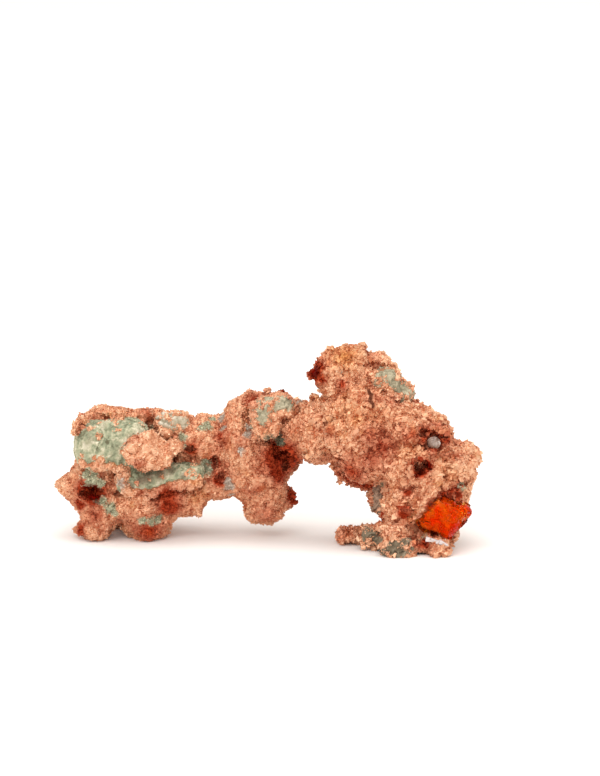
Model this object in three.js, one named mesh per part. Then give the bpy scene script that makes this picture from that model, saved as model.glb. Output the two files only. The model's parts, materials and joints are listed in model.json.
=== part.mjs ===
// A native copper nugget, about 37 mm long, grown round scraps of its green host rock.
//
// Units are millimetres, +Z is up. The nugget lies along X, its show face looks along -Y,
// and the origin is on the surface it rests on, under the middle of its box.
//
// The copper is one grown piece: three lobes joined in a row, the right one raised on a leg
// that ends in a foot. Each scrap of rock or crystal is a body of its own in a pocket of the
// copper. Every body is a field, which is below zero inside, and marching cubes makes its skin.

import * as THREE from 'three';
import { ImprovedNoise } from 'three/addons/math/ImprovedNoise.js';
import { edgeTable, triTable } from 'three/addons/objects/MarchingCubes.js';

// ---------------------------------------------------------------- driving dimensions, mm

const COPPER_CELL = 0.88;     // grid step of the copper's skin
const ROCK_CELL = 0.62;       // grid step of the rock scraps
const CRYSTAL_CELL = 0.5;     // grid step of the small crystals
const POCKET_GAP = 0.34;      // clear space between the copper and what it holds
const COPPER_BLEND = 0.9;     // how far copper lumps flow into each other
const ROCK_BLEND = 0.4;
const COARSE_RELIEF = 0.55;   // height of the hills and hollows on the copper
const COARSE_LENGTH = 2.7;    // their length along the skin
const FINE_RELIEF = 0.2;
const FINE_LENGTH = 1.4;
const ROCK_RELIEF = 0.22;
const ROCK_LENGTH = 1.5;
const CELL_MARGIN = 0.12;     // nearest that a skin point may come to a grid point, in cells
const GROUND_STEP = 1.5;      // cells of grid below the ground it rests on
const AT_CENTRE = 1e-9;       // slope below which a point counts as a lump's own centre

// The relief of each kind of surface is read from a stretch of the noise of its own.
const COARSE_STRETCH = 0;
const FINE_STRETCH = 20;
const ROCK_STRETCH = 40;

const COPPER = { name: 'copper_mass', color: '#d8845f', roughness: 0.35, metalness: 1 };

// Each lump is an ellipsoid: centre x, y, z and half-sizes along x, y, z.

const LEFT_LOBE = [
  [-13.5, 2.6, 10.0, 2.0, 2.6, 1.1],    // rim over the green rock
  [-11.3, 2.6, 10.3, 2.2, 2.6, 1.0],
  [-8.9, 3.0, 9.4, 2.2, 2.6, 1.2],
  [-15.3, 2.4, 9.0, 0.9, 2.2, 1.1],     // shoulder
  [-16.3, 1.9, 8.6, 0.4, 0.9, 0.7],     // tongue that curls off it
  [-13.6, 5.0, 7.9, 2.9, 3.0, 2.8],     // back of the lobe
  [-10.4, 6.2, 7.0, 2.7, 2.9, 2.6],
  [-12.8, 6.8, 4.4, 2.8, 2.7, 2.5],
  [-15.0, 4.2, 5.6, 1.9, 2.4, 2.1],
  [-8.3, 4.4, 5.4, 2.3, 2.9, 2.7],
  [-7.6, 4.6, 8.4, 1.8, 2.2, 1.8],
  [-7.2, 2.0, 8.7, 2.2, 2.6, 1.9],      // bridge to the middle lobe
  [-5.0, 1.6, 8.6, 2.0, 2.4, 2.2],
  [-10.2, -1.5, 8.0, 2.5, 1.4, 1.5],    // patch that lies on the green rock
  [-16.8, 1.4, 4.7, 1.3, 1.9, 1.1],     // left tip
  [-14.6, 0.5, 5.5, 2.3, 1.8, 1.0],     // belt under the green rock
  [-14.0, 1.4, 3.3, 2.5, 2.8, 1.7],
  [-10.6, 1.0, 3.4, 2.6, 3.0, 1.7],
  [-8.0, 1.2, 3.7, 1.7, 2.4, 1.6],
  [-15.0, 0.9, 0.9, 1.5, 2.2, 1.2],     // left foot
  [-10.2, 1.3, 0.9, 1.9, 2.5, 1.3],     // second foot
  [-12.6, 6.0, 1.6, 2.6, 2.2, 2.1],     // heel at the back
  [-6.1, 0.8, 3.1, 1.0, 1.3, 1.3],      // small drip
  [-5.8, 1.4, 4.8, 1.4, 1.6, 1.0],
  [-6.0, 2.8, 6.4, 1.9, 1.6, 1.5],
];

const MIDDLE_LOBE = [
  [-4.0, 1.3, 5.3, 1.9, 2.2, 2.0],      // joint with the left lobe
  [-1.3, 1.6, 11.1, 1.9, 2.2, 1.6],     // crown
  [0.9, 1.8, 11.6, 1.2, 1.6, 1.1],
  [-1.8, 0.8, 8.6, 2.3, 2.9, 2.6],
  [-0.7, 0.8, 5.3, 2.1, 2.4, 2.3],
  [-0.2, 0.9, 2.5, 1.5, 1.7, 1.5],      // drip that hangs clear of the ground
  [1.9, 1.2, 3.3, 0.9, 1.0, 0.8],
  [1.1, 1.7, 6.9, 1.5, 1.9, 1.7],       // recessed cheek
  [-0.9, 4.2, 8.6, 2.2, 2.4, 2.3],      // back of the lobe
  [0.2, 4.0, 5.6, 1.8, 1.9, 1.9],
  [-3.6, 3.6, 7.0, 1.8, 2.0, 1.9],
];

const RIGHT_LOBE = [
  [2.4, 0.9, 9.5, 2.0, 2.7, 2.1],       // span that joins the middle lobe
  [4.4, -0.1, 9.5, 2.3, 3.1, 2.6],
  [7.9, -1.2, 10.6, 3.5, 4.0, 3.3],     // body
  [6.9, -0.9, 14.0, 1.9, 2.4, 2.0],     // tower
  [6.0, -0.7, 16.0, 1.1, 1.6, 1.2],
  [7.6, -0.5, 16.1, 1.4, 1.6, 1.1],
  [4.5, -0.6, 14.8, 0.6, 0.9, 0.7],     // nub on its left
  [8.8, -0.2, 15.1, 0.9, 1.4, 0.8],
  [10.2, 0.3, 15.4, 0.8, 1.0, 0.8],     // second knob
  [9.8, 1.9, 13.4, 2.2, 1.8, 1.9],
  [9.4, -1.8, 12.6, 1.6, 2.2, 1.4],
  [12.0, -1.0, 10.5, 2.6, 3.4, 2.1],    // shoulder
  [14.2, -1.4, 9.2, 2.1, 3.2, 1.8],
  [16.4, -1.7, 7.4, 1.8, 2.7, 1.9],     // right end
  [12.8, -2.5, 7.3, 3.0, 3.2, 2.0],
  [9.0, -1.6, 7.6, 3.0, 3.0, 2.2],
  [8.2, 2.8, 10.4, 2.6, 2.7, 2.6],      // back of the lobe
  [11.6, 3.4, 9.6, 2.5, 2.6, 2.3],
  [10.2, 3.4, 7.4, 2.2, 2.2, 1.9],
  [13.8, 2.2, 7.2, 2.3, 2.4, 2.1],
  [5.2, 2.2, 8.6, 1.9, 2.0, 1.7],
  [11.8, -2.7, 4.3, 2.0, 2.7, 2.4],     // leg
  [14.4, -2.9, 4.2, 2.1, 2.8, 2.4],
  [16.2, -2.2, 4.4, 1.4, 2.2, 1.5],
  [13.0, 1.6, 2.4, 2.1, 2.3, 3.0],      // back of the leg
  [12.7, 1.8, 1.2, 1.9, 1.8, 1.7],      // heel of the leg
  [11.8, -3.9, 1.2, 2.4, 2.4, 1.2],     // foot
  [14.2, -4.9, 0.8, 1.7, 2.0, 1.0],
  [14.5, -5.6, 0.6, 1.5, 1.3, 0.8],
  [15.9, -3.8, 1.1, 0.9, 1.1, 0.8],
  [9.0, -1.7, 1.0, 1.9, 1.6, 0.8],      // toe
  [6.9, -0.9, 0.75, 1.1, 1.3, 0.9],
];

const COPPER_LUMPS = [...LEFT_LOBE, ...MIDDLE_LOBE, ...RIGHT_LOBE];

// Rock and crystal lumps stand a little out of the copper, so each one shows in its pocket.

const HELD_PIECES = [
  {
    name: 'green_matrix_left',
    cell: ROCK_CELL,
    color: '#a9b89a',
    roughness: 0.9,
    lumps: [
      [-13.5, 0.5, 8.3, 2.8, 2.0, 1.8],
      [-12.1, 0.3, 9.2, 1.9, 1.7, 1.2],
      [-11.6, 1.0, 6.6, 0.9, 1.3, 1.3],
      [-10.8, 0.5, 5.2, 1.8, 1.8, 0.9],
      [-7.4, 0.2, 5.9, 1.9, 1.6, 0.8],
    ],
  },
  {
    name: 'quartz_cap_left',
    cell: CRYSTAL_CELL,
    color: '#d6d8c8',
    roughness: 0.5,
    lumps: [[-8.0, 0.6, 10.3, 1.3, 1.0, 0.7]],
  },
  {
    name: 'matrix_band_middle',
    cell: ROCK_CELL,
    color: '#a3a8a0',
    roughness: 0.85,
    lumps: [
      [0.0, -1.0, 11.0, 0.9, 1.2, 1.4],
      [1.4, -0.6, 12.1, 0.9, 1.2, 0.7],
    ],
  },
  {
    name: 'matrix_upper_right',
    cell: ROCK_CELL,
    color: '#a8ad98',
    roughness: 0.85,
    lumps: [
      [10.4, -0.9, 14.3, 1.1, 1.5, 0.8],
      [11.5, -0.6, 13.2, 1.0, 1.4, 0.8],
    ],
  },
  {
    name: 'matrix_leg_right',
    cell: ROCK_CELL,
    color: '#9a9284',
    roughness: 0.85,
    lumps: [[10.3, -0.5, 4.2, 0.9, 1.5, 1.7]],
  },
  {
    name: 'matrix_foot_right',
    cell: ROCK_CELL,
    color: '#9ea08e',
    roughness: 0.85,
    lumps: [
      [9.4, -3.4, 1.2, 1.0, 1.2, 0.7],
      [11.3, -5.6, 0.5, 1.4, 1.2, 0.8],
    ],
  },
];

// The calcite crystal is a cleavage rhomb set in the front of the leg.
const CALCITE = {
  name: 'calcite_crystal',
  color: '#e84a10',
  roughness: 0.2,
  centre: new THREE.Vector3(15.3, -4.8, 3.1),
  halfSizes: new THREE.Vector3(1.3, 1.15, 1.35),
  lean: 0.26,                           // slope of the rhomb's sides
  turn: new THREE.Euler(0.12, -0.38, 0.3),
  corner: 0.3,                          // width of its worn edges
};

// The quartz bead sits loose-looking but grown fast in a round hollow near the right end.
const BEAD = {
  name: 'quartz_bead',
  color: '#d8d2c4',
  roughness: 0.35,
  centre: new THREE.Vector3(14.4, -4.0, 9.4),
  radius: 0.55,
  hollow: 1.15,                         // radius of the hollow round it
  seat: 0.75,                           // how far the hollow's middle lies in front of the bead's
};

// Free space through the arch between the middle lobe and the leg.
const ARCH = { left: 3.1, right: 8.2, bottom: 1.35, top: 5.5 };

// ---------------------------------------------------------------- fields

const noise = new ImprovedNoise();

function relief(p, height, length, stretch) {
  return height * noise.noise(p.x / length + stretch, p.y / length, p.z / length);
}

// How far a point lies outside a lump. A square lump is a box with well-rounded corners.
function lumpDistance(p, [x, y, z, rx, ry, rz], square = false) {
  const dx = (p.x - x) / rx;
  const dy = (p.y - y) / ry;
  const dz = (p.z - z) / rz;
  const reach = square ? (dx ** 4 + dy ** 4 + dz ** 4) ** 0.25 : Math.hypot(dx, dy, dz);
  const slope = Math.hypot(dx / rx, dy / ry, dz / rz);
  return slope > AT_CENTRE ? reach * (reach - 1) / slope : -Math.min(rx, ry, rz);
}

// The nearer of two skins, with a fillet of this width where they meet.
function smoothMin(a, b, width) {
  const near = Math.max(width - Math.abs(a - b), 0) / width;
  return Math.min(a, b) - near * near * width / 4;
}

function joined(p, lumps, blend, square) {
  const add = (nearest, lump) => smoothMin(nearest, lumpDistance(p, lump, square), blend);
  return lumps.reduce(add, Infinity);
}

function rockField(piece) {
  return (p) => joined(p, piece.lumps, ROCK_BLEND, true) + relief(p, ROCK_RELIEF, ROCK_LENGTH, ROCK_STRETCH);
}

function calciteField(p) {
  const q = p.clone().sub(CALCITE.centre).applyEuler(CALCITE.turn);
  q.x -= CALCITE.lean * q.z;
  q.y -= CALCITE.lean * q.x;
  const { halfSizes, corner } = CALCITE;
  const out = new THREE.Vector3(Math.abs(q.x), Math.abs(q.y), Math.abs(q.z)).sub(halfSizes);
  const largest = Math.max(out.x, out.y, out.z);
  const bevel = (out.x + out.y + out.z + corner * 3) / Math.sqrt(3) - corner;
  return Math.max(largest, bevel);
}

function beadField(p) {
  return p.distanceTo(BEAD.centre) - BEAD.radius;
}

function beadHollowField(p) {
  const { x, y, z } = BEAD.centre;
  return Math.hypot(p.x - x, p.y - (y - BEAD.seat), p.z - z) - BEAD.hollow;
}

function archField(p) {
  const side = Math.max(ARCH.left - p.x, p.x - ARCH.right);
  const height = Math.max(ARCH.bottom - p.z, p.z - ARCH.top);
  return Math.max(side, height);
}

const held = HELD_PIECES.map((piece) => ({ ...piece, field: rockField(piece) }));

const crystals = [
  {
    ...CALCITE,
    cell: CRYSTAL_CELL,
    field: calciteField,
    box: boxRound(CALCITE.centre, CALCITE.halfSizes.length() * (1 + CALCITE.lean)),
  },
  {
    ...BEAD,
    cell: CRYSTAL_CELL / 2,
    field: beadField,
    box: boxRound(BEAD.centre, BEAD.radius),
  },
];

const pockets = [...held, ...crystals].map((piece) => piece.field);

function copperField(p) {
  const coarse = relief(p, COARSE_RELIEF, COARSE_LENGTH, COARSE_STRETCH);
  const fine = relief(p, FINE_RELIEF, FINE_LENGTH, FINE_STRETCH);
  let value = joined(p, COPPER_LUMPS, COPPER_BLEND) + coarse + fine;
  for (const pocket of pockets) {
    value = Math.max(value, POCKET_GAP - pocket(p));
  }
  value = Math.max(value, -beadHollowField(p), -archField(p));
  return value;
}

// ---------------------------------------------------------------- marching cubes

// A cube's corners as steps along x, y, z, and its edges as pairs of corners.
const CORNERS = [
  [0, 0, 0], [1, 0, 0], [1, 1, 0], [0, 1, 0],
  [0, 0, 1], [1, 0, 1], [1, 1, 1], [0, 1, 1],
];
const EDGES = [
  [0, 1], [1, 2], [2, 3], [3, 0],
  [4, 5], [5, 6], [6, 7], [7, 4],
  [0, 4], [1, 5], [2, 6], [3, 7],
];

function skin(field, box, cell) {
  // The ground, z = 0, lies half-way between two layers, so a foot cut there is truly flat.
  const low = new THREE.Vector3(box.min.x - cell, box.min.y - cell, -GROUND_STEP * cell);
  const counts = [box.max.x, box.max.y, box.max.z].map(
    (high, axis) => Math.ceil((high + cell - low.getComponent(axis)) / cell) + 1,
  );
  const [nx, ny, nz] = counts;
  const index = (i, j, k) => (k * ny + j) * nx + i;
  const place = (i, j, k) => new THREE.Vector3(i, j, k).multiplyScalar(cell).add(low);

  const values = new Float64Array(nx * ny * nz);
  for (let k = 0; k < nz; k++) {
    for (let j = 0; j < ny; j++) {
      for (let i = 0; i < nx; i++) {
        const p = place(i, j, k);
        values[index(i, j, k)] = Math.max(field(p), -p.z);
      }
    }
  }

  const positions = [];
  const pointOfEdge = new Map();
  const triangles = [];

  function edgePoint(i, j, k, edge) {
    const [a, b] = EDGES[edge].map((corner) => CORNERS[corner]);
    const ia = index(i + a[0], j + a[1], k + a[2]);
    const ib = index(i + b[0], j + b[1], k + b[2]);
    const key = Math.min(ia, ib) * values.length + Math.max(ia, ib);
    if (!pointOfEdge.has(key)) {
      const share = values[ia] / (values[ia] - values[ib]);
      const kept = THREE.MathUtils.clamp(share, CELL_MARGIN, 1 - CELL_MARGIN);
      const from = place(i + a[0], j + a[1], k + a[2]);
      const to = place(i + b[0], j + b[1], k + b[2]);
      pointOfEdge.set(key, positions.length / 3);
      positions.push(...from.lerp(to, kept).toArray());
    }
    return pointOfEdge.get(key);
  }

  for (let k = 0; k < nz - 1; k++) {
    for (let j = 0; j < ny - 1; j++) {
      for (let i = 0; i < nx - 1; i++) {
        let inside = 0;
        CORNERS.forEach(([x, y, z], bit) => {
          if (values[index(i + x, j + y, k + z)] < 0) inside |= 1 << bit;
        });
        if (edgeTable[inside] === 0) continue;
        for (let t = inside * 16; triTable[t] !== -1; t += 3) {
          triangles.push([triTable[t], triTable[t + 2], triTable[t + 1]].map(
            (edge) => edgePoint(i, j, k, edge),
          ));
        }
      }
    }
  }
  return { positions, triangles };
}

// A thin web of copper can leave a crumb beside the pocket it closed: only the main body stays.
function mainBody({ positions, triangles }) {
  const parent = Array.from({ length: positions.length / 3 }, (_, i) => i);
  const root = (i) => {
    while (parent[i] !== i) {
      parent[i] = parent[parent[i]];
      i = parent[i];
    }
    return i;
  };
  for (const [a, b, c] of triangles) {
    parent[root(a)] = root(b);
    parent[root(b)] = root(c);
  }
  const sizes = new Map();
  for (const [a] of triangles) {
    sizes.set(root(a), (sizes.get(root(a)) ?? 0) + 1);
  }
  const main = [...sizes].sort((one, other) => other[1] - one[1])[0][0];

  const renumbered = new Map();
  const kept = { positions: [], triangles: [] };
  for (const triangle of triangles) {
    if (root(triangle[0]) !== main) continue;
    kept.triangles.push(triangle.map((point) => {
      if (!renumbered.has(point)) {
        renumbered.set(point, kept.positions.length / 3);
        kept.positions.push(...positions.slice(point * 3, point * 3 + 3));
      }
      return renumbered.get(point);
    }));
  }
  return kept;
}

function geometryOf({ positions, triangles }) {
  const geometry = new THREE.BufferGeometry();
  geometry.setAttribute('position', new THREE.Float32BufferAttribute(positions, 3));
  geometry.setIndex(triangles.flat());
  return geometry;
}

// ---------------------------------------------------------------- the pieces

function boxOf(lumps) {
  const box = new THREE.Box3();
  const margin = COARSE_RELIEF + FINE_RELIEF + COPPER_BLEND;
  for (const [x, y, z, rx, ry, rz] of lumps) {
    const middle = new THREE.Vector3(x, y, z);
    const size = new THREE.Vector3(rx + margin, ry + margin, rz + margin).multiplyScalar(2);
    box.union(new THREE.Box3().setFromCenterAndSize(middle, size));
  }
  return box;
}

function piece({ name, field, box, cell, color, roughness, metalness = 0 }) {
  const geometry = geometryOf(mainBody(skin(field, box, cell)));
  const material = new THREE.MeshStandardMaterial({ color, roughness, metalness });
  const mesh = new THREE.Mesh(geometry, material);
  mesh.name = name;
  return mesh;
}

function boxRound(centre, reach) {
  const size = new THREE.Vector3(2, 2, 2).multiplyScalar(reach);
  return new THREE.Box3().setFromCenterAndSize(centre, size);
}

const nugget = new THREE.Group();

nugget.add(piece({ ...COPPER, field: copperField, box: boxOf(COPPER_LUMPS), cell: COPPER_CELL }));
for (const rock of held) {
  nugget.add(piece({ ...rock, box: boxOf(rock.lumps) }));
}
for (const crystal of crystals) {
  nugget.add(piece(crystal));
}

// The origin goes under the middle of the whole nugget's box.
const whole = new THREE.Box3().setFromObject(nugget);
const middle = whole.getCenter(new THREE.Vector3());
nugget.position.set(-middle.x, -middle.y, 0);

export default nugget;
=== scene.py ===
# %% [markdown]
# # A native copper nugget
#
# The specimen is a small natural nugget, about 37 mm long: spongy, crystalline copper that grew
# in cracks of a green volcanic rock and still holds scraps of it, with a clear calcite crystal
# at one end. The solids of the part give the size and the place of every body. This lesson
# gives them their grown surfaces: first the big crumpled lumps, then a crust of tiny crystals.

# %% Load the frame
import json
import math
import random
from functools import partial

import bpy
import numpy as np
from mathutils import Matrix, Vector, noise
from mathutils.bvhtree import BVHTree

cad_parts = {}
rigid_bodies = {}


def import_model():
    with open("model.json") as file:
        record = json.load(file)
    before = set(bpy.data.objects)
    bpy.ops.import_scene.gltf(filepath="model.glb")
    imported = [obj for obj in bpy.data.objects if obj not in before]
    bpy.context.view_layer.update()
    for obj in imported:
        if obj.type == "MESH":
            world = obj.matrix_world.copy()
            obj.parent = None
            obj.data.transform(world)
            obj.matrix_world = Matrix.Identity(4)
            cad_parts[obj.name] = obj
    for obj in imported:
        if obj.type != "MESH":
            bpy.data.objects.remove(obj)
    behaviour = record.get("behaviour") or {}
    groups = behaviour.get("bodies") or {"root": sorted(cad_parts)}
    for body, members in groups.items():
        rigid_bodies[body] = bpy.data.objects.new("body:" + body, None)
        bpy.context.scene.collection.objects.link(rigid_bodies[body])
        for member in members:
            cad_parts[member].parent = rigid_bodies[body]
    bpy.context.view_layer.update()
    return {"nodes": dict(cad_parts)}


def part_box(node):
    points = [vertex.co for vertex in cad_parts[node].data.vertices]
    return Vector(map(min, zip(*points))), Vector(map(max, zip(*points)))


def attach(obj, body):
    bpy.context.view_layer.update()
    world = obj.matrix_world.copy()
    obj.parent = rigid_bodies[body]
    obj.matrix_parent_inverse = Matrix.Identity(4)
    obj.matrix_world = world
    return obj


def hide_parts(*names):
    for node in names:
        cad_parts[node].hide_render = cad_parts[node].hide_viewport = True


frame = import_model()
MM = 0.001
nodes = frame["nodes"]
print("solids:", sorted(nodes))

# %% [markdown]
# ## Helpers for colours and nodes
#
# Colours are written as sRGB hex values, the way a swatch is read, and one function turns
# them into linear values. All node trees are built with one small function: it adds a node with
# its settings and fills or links its inputs, so a pattern reads from top to bottom like a recipe.

# %% Colour and node helpers
def linear(hex_colour, alpha=1.0):
    """An sRGB hex colour as linear red, green, blue and alpha."""
    parts = [int(hex_colour[i:i + 2], 16) / 255 for i in (1, 3, 5)]
    return [c / 12.92 if c <= 0.04045 else ((c + 0.055) / 1.055) ** 2.4 for c in parts] + [alpha]


def add_node(tree, kind, inputs=None, operation=None, stops=(), **settings):
    """Adds a node. Each input is a value, or a node or output to link from. Stops are a ramp's
    places and colours, in rising order."""
    node = tree.nodes.new(kind)
    if operation:
        node.operation = operation
    for name, value in settings.items():
        setattr(node, name, value)
    for place, colour in stops[2:]:
        node.color_ramp.elements.new(place)
    for number, (place, colour) in enumerate(sorted(stops)):
        node.color_ramp.elements[number].position = place
        node.color_ramp.elements[number].color = linear(colour)
    for key, value in (inputs or {}).items():
        named = [s for s in node.inputs if s.name == key and s.enabled]
        socket = named[0] if named else node.inputs[key]
        if isinstance(value, bpy.types.Node):
            value = next(s for s in value.outputs if s.enabled)
        if isinstance(value, bpy.types.NodeSocket):
            tree.links.new(value, socket)
        else:
            socket.default_value = value
    return node


# %% [markdown]
# Blender's own commands act on whatever is selected, so one more function deselects everything
# before it adds a camera, a lamp or a simple shape.

# %% New objects
def added(command, **settings):
    bpy.ops.object.select_all(action="DESELECT")
    command(**settings)
    return bpy.context.object


# %% [markdown]
# ## The camera
#
# A long lens from just above, looking slightly down, so the nugget is seen almost from the
# front with little perspective, as small specimens are usually shot.

# %% Camera
CAMERA_PLACE = Vector((2.83, -348.46, 74.9)) * MM
CAMERA_DOWN = math.radians(10.04)
LENS = 190.3  # mm on a 36 mm wide sensor

camera = added(bpy.ops.object.camera_add, location=CAMERA_PLACE, rotation=(math.pi / 2 - CAMERA_DOWN, 0, 0))
camera.name = "camera"
camera.data.lens = LENS
camera.data.clip_start = 0.01
bpy.context.scene.camera = camera
print("camera", [round(c, 4) for c in camera.location])

# %% [markdown]
# ## Floor and light
#
# Every crystal face mirrors a blurred patch of the room. Small bright lamps would burn out the
# sparkle, so the room is a light tent: a white floor, a pale sky, and very large soft panels.

# %% Floor and light
FLOOR_SIZE = 4.0

floor = added(bpy.ops.mesh.primitive_plane_add, size=FLOOR_SIZE)
floor.name = "floor"
floor_paint = bpy.data.materials.new("matt_white_paper")
floor_paint.use_nodes = True
shader = floor_paint.node_tree.nodes["Principled BSDF"]
shader.inputs["Base Color"].default_value = linear("#f6f5f3")
shader.inputs["Roughness"].default_value = 0.9
floor.data.materials.append(floor_paint)

world = bpy.data.worlds.new("studio")
bpy.context.scene.world = world
world.use_nodes = True
world.node_tree.nodes["Background"].inputs["Color"].default_value = linear("#fffaf4")
world.node_tree.nodes["Background"].inputs["Strength"].default_value = 0.85
bpy.context.scene.view_settings.view_transform = "Standard"


def softbox(name, place, size, radiance):
    """A panel that looks at the nugget: place and size in metres, radiance in W/m2/sr."""
    lamp = added(bpy.ops.object.light_add, type="AREA", location=place)
    lamp.name = name
    lamp.data.shape = "RECTANGLE"
    lamp.data.size, lamp.data.size_y = size
    lamp.data.energy = radiance * math.pi * size[0] * size[1]
    aim = Vector((0, 0, 0.008)) - Vector(place)
    lamp.rotation_euler = aim.to_track_quat("-Z", "Y").to_euler()
    print(name, round(lamp.data.energy, 2), "W")


softbox("front_softbox", (-0.25, -0.75, 0.55), (0.8, 0.6), 3.1)
softbox("top_softbox", (0.0, 0.0, 0.9), (0.9, 0.7), 2.2)
softbox("side_softbox", (0.7, -0.35, 0.35), (0.4, 0.4), 1.6)

# %% [markdown]
# ## Working copies of the solids
#
# The solids stay as they are: each visible piece starts as a copy of one, with its doubled
# corners merged. A voxel remesh turns the coarse facets into an even skin of small squares,
# which is what relief needs: points that are close together everywhere.

# %% Working copies
def make_active(piece):
    bpy.ops.object.select_all(action="DESELECT")
    piece.select_set(True)
    bpy.context.view_layer.objects.active = piece


def apply_modifier(piece, kind, **settings):
    modifier = piece.modifiers.new(kind.lower(), kind)
    for name, value in settings.items():
        setattr(modifier, name, value)
    make_active(piece)
    bpy.ops.object.modifier_apply(modifier=modifier.name)


def edit(command, **settings):
    """Runs one of Blender's edit commands on the whole mesh of the active piece."""
    bpy.ops.object.mode_set(mode="EDIT")
    bpy.ops.mesh.select_all(action="SELECT")
    command(**settings)
    bpy.ops.object.mode_set(mode="OBJECT")


def copy_of(node, name):
    """A merged copy of a solid's mesh, as a piece of its own."""
    mesh = nodes[node].data.copy()
    mesh.name = name
    mesh.materials.clear()
    piece = bpy.data.objects.new(name, mesh)
    bpy.context.scene.collection.objects.link(piece)
    make_active(piece)
    edit(bpy.ops.mesh.remove_doubles, threshold=1e-6)
    return piece


def even_copy(node, name, voxel, smooth=0, swell=0.0):
    """A copy of a solid that is swollen, remeshed to even squares and smoothed. Sizes are in mm."""
    piece = copy_of(node, name)
    if swell:
        apply_modifier(piece, "DISPLACE", strength=swell * MM, mid_level=0.0)
    apply_modifier(piece, "REMESH", mode="VOXEL", voxel_size=voxel * MM)
    if smooth:
        apply_modifier(piece, "SMOOTH", iterations=smooth)
    return piece


def triangles(piece):
    piece.data.calc_loop_triangles()
    return len(piece.data.loop_triangles)


# %% [markdown]
# ## Places on the nugget
#
# Details sit where they are seen from the front: a knob, a hollow or a chip of rock is named by
# how far across and how far up the copper it shows. A line of sight through that place finds
# the skin behind it. Beside the outline there is no skin, so a knob there also says how deep.

# %% Places
COPPER_LOW, COPPER_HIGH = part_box("copper_mass")
COPPER_SIZE = COPPER_HIGH - COPPER_LOW


def sight(across, up, deep=0.5):
    """The place at this depth that shows at a fraction of the copper's width and height."""
    middle = COPPER_LOW + Vector((COPPER_SIZE.x * across, COPPER_SIZE.y / 2, COPPER_SIZE.z * up))
    along = middle - CAMERA_PLACE
    return CAMERA_PLACE + along * ((COPPER_LOW.y + COPPER_SIZE.y * deep - CAMERA_PLACE.y) / along.y)


def skins(*pieces):
    """A search tree of the faces of each piece."""
    trees = []
    for piece in pieces:
        corners = [v.co for v in piece.data.vertices]
        trees.append(BVHTree.FromPolygons(corners, [tuple(f.vertices) for f in piece.data.polygons]))
    return trees


def seen_at(trees, across, up):
    """The place and normal of the nearest skin on a line of sight, or None."""
    along = (sight(across, up) - CAMERA_PLACE).normalized()
    hits = [tree.ray_cast(CAMERA_PLACE, along) for tree in trees]
    return min([h for h in hits if h[0]], key=lambda h: h[3], default=None)


solid_skins = skins(*nodes.values())
print("front skin at the middle, mm:", [round(c / MM, 1) for c in seen_at(solid_skins, 0.5, 0.5)[0]])

# %% [markdown]
# ## The copper body
#
# The metal grew as one spongy mass, so it is one piece. Knobs, a curled flap and a few hanging
# drips are added as small lumps and melt into the mass at the remesh.

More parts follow.
